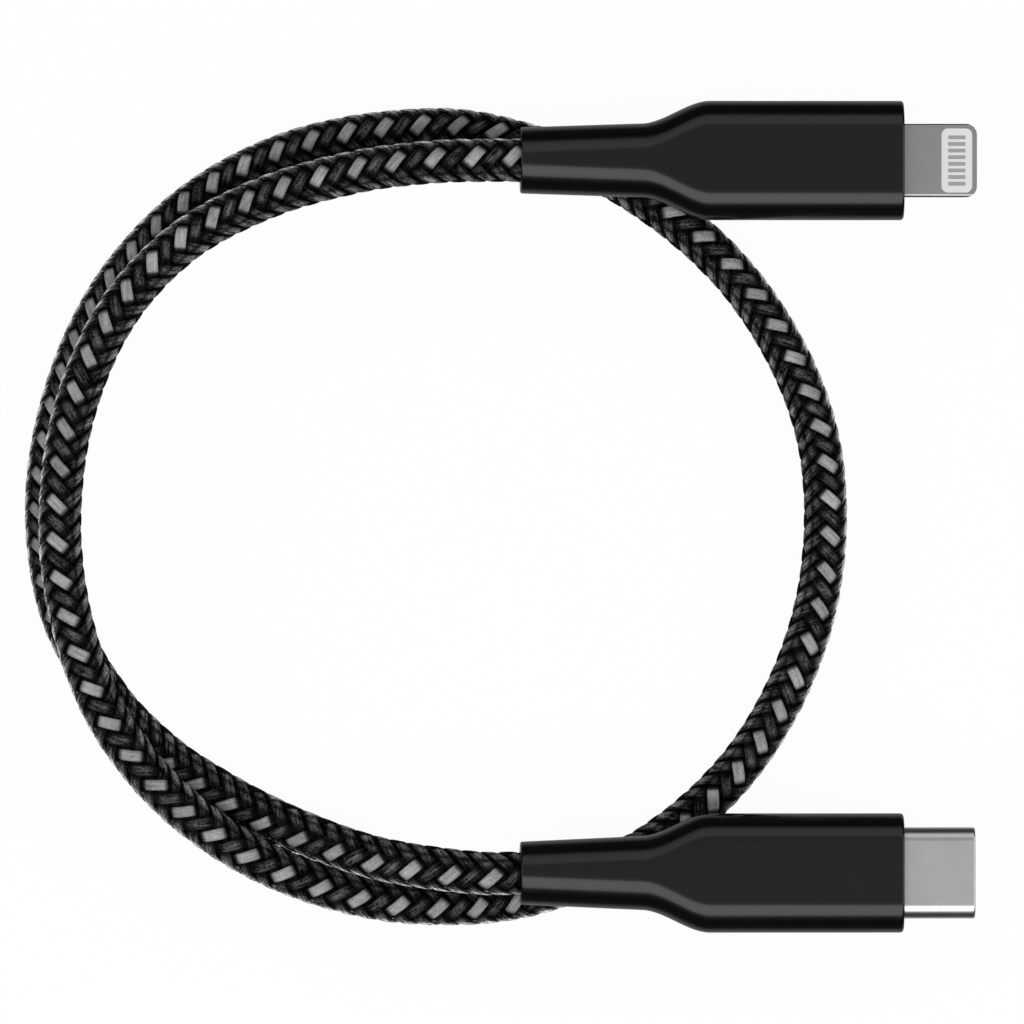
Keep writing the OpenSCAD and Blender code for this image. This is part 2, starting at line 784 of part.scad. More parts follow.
// A ring of the cord, square to its direction
function cord_ring(centre, direction) =
    let (side = unit(cross([0, 0, 1], direction)), up = cross(direction, side))
    [for (i = [0:cord_sides - 1])
        let (turn = 360 * i / cord_sides)
        centre + cord_d / 2 * (cos(turn) * side + sin(turn) * up)];

function cord_rings(points) =
    let (p = carried_on(points), spans = len(points) - 1)
    [for (step = [0:spans * rings_per_span])
        let (span = min(floor(step / rings_per_span), spans - 1),
             t = step / rings_per_span - span,
             four = [p[span], p[span + 1], p[span + 2], p[span + 3]])
        cord_ring(span_point(four, t), unit(span_slope(four, t)))];

module cord() {
    color(BLACK) loft(cord_rings(cord_points));
}

usb_c_housing();
usb_c_inner_mould();
usb_c_shell();
usb_c_contact_block();
usb_c_upper_contacts();
usb_c_lower_contacts();
usb_c_latch_plate();
usb_c_upper_ground_spring();
usb_c_lower_ground_spring();
usb_c_board();
usb_c_chip();
usb_c_capacitors();
usb_c_upper_shield_can();
usb_c_lower_shield_can();
usb_c_crimp_ring();
usb_c_cord_end();
usb_c_power_wire();
usb_c_ground_wire();
usb_c_data_plus_wire();
usb_c_data_minus_wire();
eight_pin_housing();
eight_pin_inner_mould();
eight_pin_tab();
eight_pin_insert();
eight_pin_upper_contacts();
eight_pin_lower_contacts();
eight_pin_board();
eight_pin_chip();
eight_pin_capacitors();
eight_pin_upper_shield_can();
eight_pin_lower_shield_can();
eight_pin_crimp_ring();
eight_pin_cord_end();
eight_pin_power_wire();
eight_pin_ground_wire();
eight_pin_data_plus_wire();
eight_pin_data_minus_wire();
cord();
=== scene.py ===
"""A short braided charging cable with a USB-C plug and an 8-pin reversible plug.

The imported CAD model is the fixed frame. The script lays a braided cord along the CAD cord's
route, gives both plugs their moulded skins and finishes, and sets a plain pale studio round
them. Sizes of the cable are in millimetres; its meshes are written in metres.
"""

import json
import logging
import math
from dataclasses import dataclass, field
from enum import Enum
from typing import Callable

import bmesh
import bpy
import numpy as np
from mathutils import Matrix, Vector


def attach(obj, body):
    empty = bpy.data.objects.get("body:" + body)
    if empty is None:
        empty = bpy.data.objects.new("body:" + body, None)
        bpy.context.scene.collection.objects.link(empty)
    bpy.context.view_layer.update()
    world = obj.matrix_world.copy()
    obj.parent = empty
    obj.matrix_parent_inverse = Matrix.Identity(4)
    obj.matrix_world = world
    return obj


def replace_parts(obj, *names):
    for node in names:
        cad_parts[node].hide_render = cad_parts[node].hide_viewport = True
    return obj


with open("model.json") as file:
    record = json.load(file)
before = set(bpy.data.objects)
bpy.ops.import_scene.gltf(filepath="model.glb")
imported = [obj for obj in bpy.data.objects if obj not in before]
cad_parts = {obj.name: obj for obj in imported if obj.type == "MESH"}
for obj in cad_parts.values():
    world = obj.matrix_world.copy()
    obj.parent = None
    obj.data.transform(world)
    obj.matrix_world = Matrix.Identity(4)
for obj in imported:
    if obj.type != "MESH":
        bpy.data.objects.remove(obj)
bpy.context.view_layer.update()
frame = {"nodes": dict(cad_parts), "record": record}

LOG = logging.getLogger("charging_cable")
MM = 0.001
TURN = 2 * math.pi
# Metres within which the two edges of a wrapped grid meet
SEAM_DISTANCE = 2e-7
# Attributes on a yarn's mesh: its painted light and shade, and its share in the loop's outer edge
SHADES = "tone", "edge"

Rgb = tuple[float, float, float]
Span = tuple[float, float]
Socket = bpy.types.NodeSocket


# ---------- shared mesh tools ----------


def wrapped_grids(
    name: str,
    count: int,
    along: int,
    around: int,
    lay: Callable[[np.ndarray], np.ndarray],
) -> bpy.types.Mesh:
    """Makes flat grids and wraps each into a closed tube.

    Args:
        name: Name of the mesh.
        count: Number of tubes; the grid of tube i lies at height i before it is laid.
        along: Faces along a tube.
        around: Faces around a tube.
        lay: Takes grid points, with x and y from -0.5 to 0.5 along and around the tube and z
            the tube's number, and gives their places in millimetres, followed by the shades
            where the finish uses them.

    Returns:
        The closed mesh in metres, with a UV map that runs along and around each tube.
    """
    bm = bmesh.new()
    bm.loops.layers.uv.new("UVMap")
    for number in range(count):
        bmesh.ops.create_grid(
            bm,
            x_segments=along,
            y_segments=around,
            size=0.5,
            matrix=Matrix.Translation((0, 0, number)),
            calc_uvs=True,
        )
    mesh = bpy.data.meshes.new(name)
    bm.to_mesh(mesh)
    bm.free()
    points = np.empty(len(mesh.vertices) * 3, np.float32)
    mesh.vertices.foreach_get("co", points)
    placed = lay(points.reshape(-1, 3).astype(np.float64)).astype(np.float32)
    mesh.vertices.foreach_set("co", (placed[:, :3] * MM).ravel())
    for label, shade in zip(SHADES, placed.T[3:]):
        mesh.attributes.new(label, "FLOAT", "POINT").data.foreach_set("value", shade.copy())
    bm = bmesh.new()
    bm.from_mesh(mesh)
    bmesh.ops.remove_doubles(bm, verts=bm.verts, dist=SEAM_DISTANCE)
    bmesh.ops.holes_fill(bm, edges=bm.edges, sides=around)
    bmesh.ops.recalc_face_normals(bm, faces=bm.faces)
    bm.to_mesh(mesh)
    bm.free()
    return mesh


def finished_piece(
    mesh: bpy.types.Mesh, material: bpy.types.Material
) -> bpy.types.Object:
    """Puts a mesh into the scene as a piece that rides on the cable's one body.

    Args:
        mesh: The mesh, already in place.
        material: Its material.

    Returns:
        The piece's object.
    """
    mesh.shade_smooth()
    mesh.materials.append(material)
    piece = bpy.data.objects.new(mesh.name, mesh)
    bpy.context.scene.collection.objects.link(piece)
    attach(piece, "root")
    LOG.info("%s: %d faces", mesh.name, len(mesh.polygons))
    return piece


# ---------- node wiring ----------


@dataclass
class Wiring:
    """Adds and links the nodes of one node tree."""

    tree: bpy.types.NodeTree

    def node(self, kind: str, **settings: object) -> bpy.types.Node:
        """Adds a node.

        Args:
            kind: The node's type name.
            settings: Properties to set on it.

        Returns:
            The new node.
        """
        made = self.tree.nodes.new(kind)
        for key, value in settings.items():
            setattr(made, key, value)
        return made

    def feed(self, socket: Socket, value: object) -> None:
        """Links an output to a socket, or sets the socket's own value.

        Args:
            socket: The input socket.
            value: An output socket, a number or a colour.
        """
        if isinstance(value, Socket):
            self.tree.links.new(value, socket)
        else:
            socket.default_value = value

    def maths(self, operation: str, *values: object) -> Socket:
        """Adds a Math node.

        Args:
            operation: The node's operation.
            values: Its inputs, as sockets or numbers.

        Returns:
            The result's socket.
        """
        made = self.node("ShaderNodeMath", operation=operation)
        for socket, value in zip(made.inputs, values):
            self.feed(socket, value)
        return made.outputs[0]

    def ramp(self, value: Socket, span: Span, results: Span) -> Socket:
        """Maps a value from one range to another, smoothly and within it.

        Args:
            value: The value's socket.
            span: The values that give the first and the last result.
            results: Those results.

        Returns:
            The result's socket.
        """
        made = self.node("ShaderNodeMapRange", interpolation_type="SMOOTHSTEP")
        for socket, given in zip(made.inputs, (value, *span, *results)):
            self.feed(socket, given)
        return made.outputs[0]

    def scaled(self, colour: Socket, factor: Socket) -> Socket:
        """Multiplies a colour by a number.

        Args:
            colour: The colour's socket.
            factor: The number's socket.

        Returns:
            The result's socket.
        """
        made = self.node("ShaderNodeVectorMath", operation="SCALE")
        self.feed(made.inputs[0], colour)
        self.feed(made.inputs["Scale"], factor)
        return made.outputs[0]

    def object_place(self) -> Socket:
        """Gives a point's place on its own piece."""
        return self.node("ShaderNodeTexCoord").outputs["Object"]

    def noise(self, vector: Socket, scale: object, detail: float) -> Socket:
        """Adds a Noise Texture.

        Args:
            vector: Coordinates.
            scale: Its scale, as a number or a socket.
            detail: Its detail.

        Returns:
            The noise value's socket.
        """
        made = self.node("ShaderNodeTexNoise")
        self.feed(made.inputs["Vector"], vector)
        self.feed(made.inputs["Scale"], scale)
        made.inputs["Detail"].default_value = detail
        return made.outputs["Fac"]

    def stretched(self, vector: Socket, scale: tuple[float, float, float]) -> Socket:
        """Scales coordinates along each axis.

        Args:
            vector: The coordinates.
            scale: The factor on each axis.

        Returns:
            The scaled coordinates' socket.
        """
        made = self.node("ShaderNodeMapping")
        self.feed(made.inputs["Vector"], vector)
        made.inputs["Scale"].default_value = scale
        return made.outputs["Vector"]


class Effect(Enum):
    """The shader node groups that the finishes share."""

    FINE_GRAIN = "fine_grain"
    DRAWN_LINES = "drawn_lines"
    MOTTLE = "mottle"
    FILAMENTS = "filaments"


class Kind(Enum):
    """The kinds of sockets that the groups have."""

    NUMBER = "NodeSocketFloat"
    COLOUR = "NodeSocketColor"


SocketPlan = tuple[tuple[str, Kind, object], ...]
GroupEnds = tuple[Wiring, bpy.types.Node, bpy.types.Node]


@dataclass
class EffectShelf:
    """Builds each shared node group once."""

    made: dict[Effect, bpy.types.NodeTree] = field(default_factory=dict)

    def get(self, effect: Effect) -> bpy.types.NodeTree:
        """Gives a node group, built on its first use.

        Args:
            effect: Which one.

        Returns:
            The node group.
        """
        if effect not in self.made:
            builders = {
                Effect.FINE_GRAIN: self._fine_grain,
                Effect.DRAWN_LINES: self._drawn_lines,
                Effect.MOTTLE: self._mottle,
                Effect.FILAMENTS: self._filaments,
            }
            self.made[effect] = builders[effect]()
        return self.made[effect]

    @staticmethod
    def _start(effect: Effect, inputs: SocketPlan, outputs: SocketPlan) -> GroupEnds:
        """Opens a new group.

        Args:
            effect: The group's name.
            inputs: Name, kind and default of each input.
            outputs: The same of each output.

        Returns:
            Its wiring, its input node and its output node.
        """
        tree = bpy.data.node_groups.new(effect.value, "ShaderNodeTree")
        for plan, way in ((inputs, "INPUT"), (outputs, "OUTPUT")):
            for name, kind, default in plan:
                socket = tree.interface.new_socket(name, in_out=way, socket_type=kind.value)
                if default is not None:
                    socket.default_value = default
        wiring = Wiring(tree)
        return wiring, wiring.node("NodeGroupInput"), wiring.node("NodeGroupOutput")

    @staticmethod
    def _roughen(ends: GroupEnds, fine: Socket, coarse: Socket) -> None:
        """Feeds a group's outputs: roughness from two patterns, and height from the fine one.

        Args:
            ends: The group's wiring, its input node and its output node.
            fine: The fine pattern, from 0 to 1.
            coarse: The coarse pattern, from 0 to 1.
        """
        w, taken, given = ends
        both = w.maths("SUBTRACT", w.maths("ADD", fine, coarse), 1)
        shift = w.maths("MULTIPLY", both, taken.outputs["Spread"])
        w.feed(given.inputs["Roughness"], w.maths("ADD", taken.outputs["Roughness"], shift))
        w.feed(given.inputs["Height"], fine)

    def _fine_grain(self) -> bpy.types.NodeTree:
        """Builds the texture of a spark-eroded mould: tiny pits and soft patches of roughness.

        Returns:
            The node group.
        """
        ends = w, taken, _ = self._start(
            Effect.FINE_GRAIN,
            (
                ("Scale", Kind.NUMBER, 5000.0),
                ("Roughness", Kind.NUMBER, 0.4),
                ("Spread", Kind.NUMBER, 0.06),
            ),
            (("Roughness", Kind.NUMBER, None), ("Height", Kind.NUMBER, None)),
        )
        place = w.object_place()
        pits = w.noise(place, taken.outputs["Scale"], detail=3)
        patches = w.noise(place, scale=260, detail=2)
        self._roughen(ends, pits, patches)
        return w.tree

    def _drawn_lines(self) -> bpy.types.NodeTree:
        """Builds the fine lines that drawing or brushing leaves along a metal piece.

        Returns:
            The node group.
        """
        ends = w, _, _ = self._start(
            Effect.DRAWN_LINES,
            (("Roughness", Kind.NUMBER, 0.3), ("Spread", Kind.NUMBER, 0.08)),
            (("Roughness", Kind.NUMBER, None), ("Height", Kind.NUMBER, None)),
        )
        place = w.object_place()
        lines = w.noise(w.stretched(place, (300, 9000, 9000)), scale=1, detail=4)
        marks = w.noise(place, scale=700, detail=2)
        self._roughen(ends, lines, marks)
        return w.tree

    def _mottle(self) -> bpy.types.NodeTree:
        """Builds a slight cloudiness of a colour.

        Returns:
            The node group.
        """
        w, taken, given = self._start(
            Effect.MOTTLE,
            (
                ("Color", Kind.COLOUR, (0.5, 0.5, 0.5, 1)),
                ("Scale", Kind.NUMBER, 400.0),
                ("Depth", Kind.NUMBER, 0.1),
            ),
            (("Color", Kind.COLOUR, None),),
        )
        cloud = w.noise(w.object_place(), taken.outputs["Scale"], detail=3)
        swing = w.maths("MULTIPLY", taken.outputs["Depth"], 2)
        gain = w.maths("ADD", w.maths("MULTIPLY", w.maths("SUBTRACT", cloud, 0.5), swing), 1)
        w.feed(given.inputs["Color"], w.scaled(taken.outputs["Color"], gain))
        return w.tree

    def _filaments(self) -> bpy.types.NodeTree:
        """Builds the filaments of a yarn, which run along it: u is along the yarn, v around it.

        Returns:
            The node group.
        """
        w, taken, given = self._start(
            Effect.FILAMENTS,
            (
                ("Color", Kind.COLOUR, (0.5, 0.5, 0.5, 1)),
                ("Length", Kind.NUMBER, 1.0),
                ("Across", Kind.NUMBER, 30.0),
                ("Depth", Kind.NUMBER, 0.3),
            ),
            (("Color", Kind.COLOUR, None), ("Height", Kind.NUMBER, None)),
        )
        climb, streak_stretch, streak_share, tuft_share, fuzz_share = 0.35, 0.5, 0.65, 0.35, 0.5
        darkest = 0.1
        parts = w.node("ShaderNodeSeparateXYZ")
        w.feed(parts.inputs[0], w.node("ShaderNodeUVMap", uv_map="UVMap").outputs["UV"])
        run = w.maths("MULTIPLY", parts.outputs["X"], taken.outputs["Length"])
        across = w.maths("MULTIPLY", parts.outputs["Y"], taken.outputs["Across"])
        lean = w.maths("ADD", across, w.maths("MULTIPLY", run, climb))
        streak_place, tuft_place = (w.node("ShaderNodeCombineXYZ") for _ in range(2))
        w.feed(streak_place.inputs[0], w.maths("MULTIPLY", run, streak_stretch))
        w.feed(streak_place.inputs[1], lean)
        w.feed(tuft_place.inputs[0], run)
        streak = w.noise(streak_place.outputs[0], scale=1, detail=2)
        tuft = w.noise(tuft_place.outputs[0], scale=0.6, detail=1)
        fuzz_and_painted_sheen = w.noise(w.object_place(), scale=5500, detail=2)
        streaked = w.maths("MULTIPLY", streak, streak_share)
        tufted = w.maths("MULTIPLY", tuft, tuft_share)
        fuzzed = w.maths("MULTIPLY", w.maths("SUBTRACT", fuzz_and_painted_sheen, 0.5), fuzz_share)
        shade = w.maths("ADD", w.maths("ADD", streaked, tufted), fuzzed)
        swing = w.maths("MULTIPLY", taken.outputs["Depth"], 4)
        gain = w.maths("ADD", w.maths("MULTIPLY", w.maths("SUBTRACT", shade, 0.5), swing), 1)
        gain = w.maths("MAXIMUM", gain, darkest)
        ridge = w.maths("ABSOLUTE", w.maths("SINE", w.maths("MULTIPLY", lean, math.pi)))
        w.feed(given.inputs["Color"], w.scaled(taken.outputs["Color"], gain))
        w.feed(given.inputs["Height"], w.maths("ADD", w.maths("MULTIPLY", ridge, 0.5), streak))
        return w.tree


EFFECTS = EffectShelf()


# ---------- finishes ----------


@dataclass(frozen=True)
class Finish:
    """A material of one piece or more."""

    name: str
    colour: Rgb
    roughness: float = 0.4

    def build(self) -> bpy.types.Material:
        """Makes the material.

        Returns:
            The material.
        """
        material = bpy.data.materials.new(self.name)
        material.use_nodes = True
        material.node_tree.nodes.clear()
        wiring = Wiring(material.node_tree)
        shader = wiring.node("ShaderNodeBsdfPrincipled")
        self.dress(wiring, shader)
        wiring.feed(wiring.node("ShaderNodeOutputMaterial").inputs["Surface"], shader.outputs[0])
        return material

    def dress(self, wiring: Wiring, shader: bpy.types.Node) -> None:
        """Sets the shader's inputs; each kind of finish has its own.

        Args:
            wiring: The material's wiring.
            shader: Its Principled BSDF.
        """
        raise NotImplementedError

    @staticmethod
    def place(wiring: Wiring, effect: Effect, **values: object) -> bpy.types.Node:
        """Places a shared node group with its own values.

        Args:
            wiring: The material's wiring.
            effect: The group.
            values: Its inputs, by name.

        Returns:
            The group's node.
        """
        made = wiring.node("ShaderNodeGroup", node_tree=EFFECTS.get(effect))
        for key, value in values.items():
            wiring.feed(made.inputs[key], value)
        return made

    @staticmethod
    def bump(wiring: Wiring, shader: bpy.types.Node, height: Socket, depth: float) -> None:
        """Feeds a height into the shader's normal.

        Args:
            wiring: The material's wiring.
            shader: Its Principled BSDF.
            height: The height's socket, from 0 to 1.
            depth: What a height of 1 stands for, in millimetres.
        """
        made = wiring.node("ShaderNodeBump")
        made.inputs["Distance"].default_value = depth * MM
        wiring.feed(made.inputs["Height"], height)
        wiring.feed(shader.inputs["Normal"], made.outputs["Normal"])


@dataclass(frozen=True)
class MouldedPlastic(Finish):
    """Plastic with the fine grain of its mould."""

    grain_scale: float = 5000.0
    grain_depth: float = 0.002
    spread: float = 0.05
    mottle: float = 0.08
    mottle_scale: float = 500.0
    see_through: float = 0.0
    gloss: float = 0.5

    def dress(self, wiring: Wiring, shader: bpy.types.Node) -> None:
        """Sets the shader's inputs.

        Args:
            wiring: The material's wiring.
            shader: Its Principled BSDF.
        """
        colour = self.place(
            wiring,
            Effect.MOTTLE,
            Color=(*self.colour, 1),
            Scale=self.mottle_scale,
            Depth=self.mottle,
        )
        grain = self.place(
            wiring,
            Effect.FINE_GRAIN,
            Scale=self.grain_scale,
            Roughness=self.roughness,
            Spread=self.spread,
        )
        wiring.feed(shader.inputs["Base Color"], colour.outputs["Color"])
        wiring.feed(shader.inputs["Roughness"], grain.outputs["Roughness"])
        shader.inputs["Transmission Weight"].default_value = self.see_through
        shader.inputs["Specular IOR Level"].default_value = self.gloss
        self.bump(wiring, shader, grain.outputs["Height"], self.grain_depth)


@dataclass(frozen=True)
class Metal(Finish):
    """Bare or plated metal with faint drawn lines."""

    spread: float = 0.06
    line_depth: float = 0.0004
    mottle: float = 0.04
    mottle_scale: float = 300.0

    def dress(self, wiring: Wiring, shader: bpy.types.Node) -> None:
        """Sets the shader's inputs.

        Args:
            wiring: The material's wiring.
            shader: Its Principled BSDF.
        """
        colour = self.place(
            wiring,
            Effect.MOTTLE,
            Color=(*self.colour, 1),
            Scale=self.mottle_scale,
            Depth=self.mottle,
        )
        lines = self.place(
            wiring, Effect.DRAWN_LINES, Roughness=self.roughness, Spread=self.spread
        )
        wiring.feed(shader.inputs["Base Color"], colour.outputs["Color"])
        shader.inputs["Metallic"].default_value = 1
        wiring.feed(shader.inputs["Roughness"], lines.outputs["Roughness"])
        self.bump(wiring, shader, lines.outputs["Height"], self.line_depth)


@dataclass(frozen=True)
class YarnFinish(Finish):
    """Polyester yarn of parallel filaments, with a painted sheen on the loop's outer edge.

    Length and across scale the filaments' pattern along and around a yarn. Depth is how far
    their shades differ, and ridge how high they stand.
    """

    length: float = 550.0
    across: float = 16.0
    depth: float = 0.25
    ridge: float = 0.012
    gloss: float = 0.1
    # Strength of the painted sheen on the loop's outer edge, and the Facing span where it sets in
    fuzz_and_painted_sheen: float = 0.0
    grazing: Span = (0.3, 0.56)

    def dress(self, wiring: Wiring, shader: bpy.types.Node) -> None:
        """Sets the shader's inputs.

        Args:
            wiring: The material's wiring.
            shader: Its Principled BSDF.
        """
        fibres = self.place(
            wiring,
            Effect.FILAMENTS,
            Color=(*self.colour, 1),
            Length=self.length,
            Across=self.across,
            Depth=self.depth,
        )
        # Painted light and shade from the mesh scales the colour
        tone, edge = (
            wiring.node("ShaderNodeAttribute", attribute_name=label).outputs["Fac"]
            for label in SHADES
        )
        facing = wiring.node("ShaderNodeLayerWeight").outputs["Facing"]
        # Painted sheen: lighter colour on the loop's outer edge, seen at a grazing angle
        fuzz_and_painted_sheen = wiring.maths("MULTIPLY", edge, wiring.ramp(facing, self.grazing, (0.0, self.fuzz_and_painted_sheen)))
        toned = wiring.scaled(fibres.outputs["Color"], wiring.maths("ADD", tone, fuzz_and_painted_sheen))
        wiring.feed(shader.inputs["Base Color"], toned)
        shader.inputs["Roughness"].default_value = self.roughness
        shader.inputs["Specular IOR Level"].default_value = self.gloss
        self.bump(wiring, shader, fibres.outputs["Height"], self.ridge)


@dataclass
class MaterialShelf:
    """Builds each finish's material once."""

    made: dict[str, bpy.types.Material] = field(default_factory=dict)

    def get(self, finish: Finish) -> bpy.types.Material:
        """Gives a finish's material, built on its first use.

        Args:
            finish: The finish.

        Returns:
            The material.
        """
        if finish.name not in self.made:
            self.made[finish.name] = finish.build()
        return self.made[finish.name]


MATERIALS = MaterialShelf()


FINISHES: dict[str, Finish] = {
    finish.name: finish
    for finish in (
        MouldedPlastic("black_moulding", (0.003, 0.003, 0.0032), 0.2),
        MouldedPlastic("clear_mould", (0.8, 0.8, 0.74), 0.35, see_through=0.6),
        Metal("bright_steel", (0.65, 0.65, 0.66), 0.3),
        Metal("satin_steel", (0.45, 0.45, 0.45), 0.34),
        Metal("spring_steel", (0.58, 0.58, 0.59), 0.3),
        Metal("tinned_sheet", (0.66, 0.66, 0.63), 0.42),
        MouldedPlastic("grey_plastic", (0.05, 0.05, 0.055), 0.5),
        MouldedPlastic("white_plastic", (0.86, 0.86, 0.85), 0.45, mottle=0.02),
        Metal("gold_contact", (0.83, 0.62, 0.25), 0.22),
        Metal("grey_contact", (0.55, 0.55, 0.55), 0.4),
        MouldedPlastic("circuit_board", (0.02, 0.13, 0.06), 0.35, mottle=0.2),
        MouldedPlastic("chip_black", (0.015, 0.015, 0.016), 0.6),
        MouldedPlastic("capacitor_tan", (0.42, 0.3, 0.18), 0.5),
        MouldedPlastic("cord_jacket", (0.004, 0.004, 0.004), 0.6, gloss=0.02),
        MouldedPlastic("red_wire", (0.5, 0.03, 0.02), 0.4),
        MouldedPlastic("black_wire", (0.02, 0.02, 0.02), 0.4),
        MouldedPlastic("green_wire", (0.03, 0.28, 0.06), 0.4),
        MouldedPlastic("white_wire", (0.8, 0.8, 0.78), 0.4),
    )
}
GREY_YARN = YarnFinish("grey_yarn", (0.33, 0.33, 0.33), 0.55, depth=0.55)
# The black yarn gets a painted sheen on the loop's outer edge
BLACK_YARN = YarnFinish("black_yarn", (0.06, 0.06, 0.061), 0.6, depth=2.0, gloss=0.01, fuzz_and_painted_sheen=6.0)


# ---------- where the plugs lie ----------


@dataclass(frozen=True)
class PlugStance:
    """How a plug lies: its own frame has the tip to +X and the front face at x = 0."""

    y: float
    relief_d: float
    front_x: float = 36.4319
    front_z: float = 5.8528
    lean: float = math.radians(2)

    def place(self, points: np.ndarray) -> np.ndarray:
        """Takes points of the plug's own frame into the object's.

        Args:
            points: Rows of x, y and z.

        Returns:
            The points where the plug lies.
        """
        x, y, z = points.T
        return np.stack(
            [
                self.front_x + x * math.cos(self.lean) + z * math.sin(self.lean),
                self.y + y,
                self.front_z - x * math.sin(self.lean) + z * math.cos(self.lean),
            ],
            axis=1,
        )

    def on_axis(self, back: float) -> np.ndarray:
        """Gives the point on the plug's axis at a distance behind its front face."""
        return self.place(np.array([[-back, 0.0, 0.0]]))[0]


# Sizes that both housings share: width, thickness and length, the long corners and the front
# edge, the lengths of the body and of the flare behind it, and the strain relief at the flare
HOUSING_W, HOUSING_T, HOUSING_L = 10.8, 6.4, 34.7
CORNER_R, FRONT_R = 2.8, 0.3
BODY_L, FLARE_L = 17.5, 6.3
RELIEF_W, RELIEF_T = 6.7, 5.8
EIGHT_PIN = PlugStance(y=32.25, relief_d=6)
USB_C = PlugStance(y=-32.25, relief_d=5.7)
# Length of cord inside each strain relief
TUCK = 1.0


# ---------- braided cord ----------


def blend(a: float, b: float, share: float | np.ndarray) -> float | np.ndarray:
    """Gives the value at a share of the way from a to b."""
    return a + (b - a) * share


def eased(value: float | np.ndarray, low: float, high: float) -> float | np.ndarray:
    """Maps values up to low to 0, and from high on to 1, with a soft start and end."""
    share = np.clip((value - low) / (high - low), 0, 1)
    return share * share * (3 - 2 * share)


@dataclass
class CordRoute:
    """The line that the middle of the cord follows, from the 8-pin plug to the USB-C plug."""

    start: PlugStance = EIGHT_PIN
    end: PlugStance = USB_C
    centre: tuple[float, float] = (-5.876, 0.04)
    lead_out: float = 3.5
    steps: int = 24
    # Each row: angle round the loop's centre in degrees, distance from it, and height
    rows: tuple[tuple[float, float, float], ...] = (
        (91, 32.05, 7.2), (103, 32, 6.7), (118, 32.7, 6), (133, 33.8, 5.65), (148, 34.25, 5.6),
        (164, 34.1, 5.6), (180, 34.05, 5.65), (195, 34.3, 5.75), (210, 34.8, 5.8), (224, 35, 5.3),
        (238, 35, 4.3), (252, 35, 3), (267, 35.1, 2.1), (284, 35.35, 1.92), (304, 35.65, 1.9),
        (325, 35.6, 1.9), (348, 35.37, 1.9), (372, 35.34, 1.9), (396, 34.83, 1.9),
        (420, 34.6, 1.9), (442, 34.9, 1.9), (458, 35.1, 1.9), (474, 35.6, 1.9), (490, 35.9, 1.9),
        (506, 35.8, 1.9), (522, 35.45, 1.9), (538, 35.35, 1.9), (554, 35.1, 1.9),
        (569, 33.95, 1.9), (581, 32.8, 1.91), (591, 31.8, 1.98), (601, 31.24, 2.6),
        (611, 31.12, 4.2), (620, 31.4, 5.8), (629, 31.8, 6.8),
    )  # fmt: skip
    run: np.ndarray = field(init=False)
    frames: np.ndarray = field(init=False)

    def __post_init__(self) -> None:
        """Samples the curve: the length so far, and its middle, side and upward directions."""
        middle = self._curve()
        step = np.linalg.norm(np.diff(middle, axis=0), axis=1)
        self.run = np.concatenate([[0.0], np.cumsum(step)])
        along = np.gradient(middle, self.run, axis=0)
        along /= np.linalg.norm(along, axis=1)[:, None]
        side = np.cross([0.0, 0.0, 1.0], along)
        side /= np.linalg.norm(side, axis=1)[:, None]
        self.frames = np.concatenate([middle, side, np.cross(along, side)], axis=1)

    def _knots(self) -> list[np.ndarray]:
        """Gives the points that the curve passes through, from exit to exit."""
        angle, distance, height = np.array(self.rows).T
        x = self.centre[0] + distance * np.cos(np.radians(angle))
        y = self.centre[1] + distance * np.sin(np.radians(angle))
        turn = np.stack([x, y, height], axis=1)
        return [
            self.start.on_axis(HOUSING_L),
            self.start.on_axis(HOUSING_L + self.lead_out),
            *turn,
            self.end.on_axis(HOUSING_L + self.lead_out),
            self.end.on_axis(HOUSING_L),
        ]

    def _curve(self) -> np.ndarray:
        """Draws a Catmull-Rom curve through the knots and carries both ends into their plugs.

        Returns:
            The curve's points.
        """
        knots = self._knots()
        p = np.array([2 * knots[0] - knots[1], *knots, 2 * knots[-1] - knots[-2]])
        t = (np.arange(self.steps) / self.steps)[:, None]
        spans = [
            0.5
            * (
                2 * b
                + (c - a) * t
                + (2 * a - 5 * b + 4 * c - d) * t**2
                + (3 * b - a - 3 * c + d) * t**3
            )
            for a, b, c, d in zip(p, p[1:], p[2:], p[3:])
        ]
        first, last = self.start.on_axis(HOUSING_L - TUCK), self.end.on_axis(HOUSING_L - TUCK)
        return np.concatenate([[first], *spans, [knots[-1], last]])

    @property
    def length(self) -> float:
        """Length of the curve, its ends inside the plugs included."""
        return float(self.run[-1])

    def place(self, run: np.ndarray, angle: np.ndarray, radius: np.ndarray) -> np.ndarray:
        """Takes points of the straight cord onto its route.

        Args:
            run: Distance along the cord.
            angle: Turn round it; a quarter turn is its top.
            radius: Distance from its middle.

        Returns:
            The points where the cord lies.
        """
        run = np.clip(run, 0, self.length)
        columns = [np.interp(run, self.run, column) for column in self.frames.T]
        middle, side, up = np.split(np.stack(columns, axis=1), 3, axis=1)
        out = np.cos(angle)[:, None] * side + np.sin(angle)[:, None] * up
        return middle + radius[:, None] * out


class Twist(Enum):
    """The way a yarn winds as it runs along the cord, seen from above."""

    LEFT = -1
    RIGHT = 1


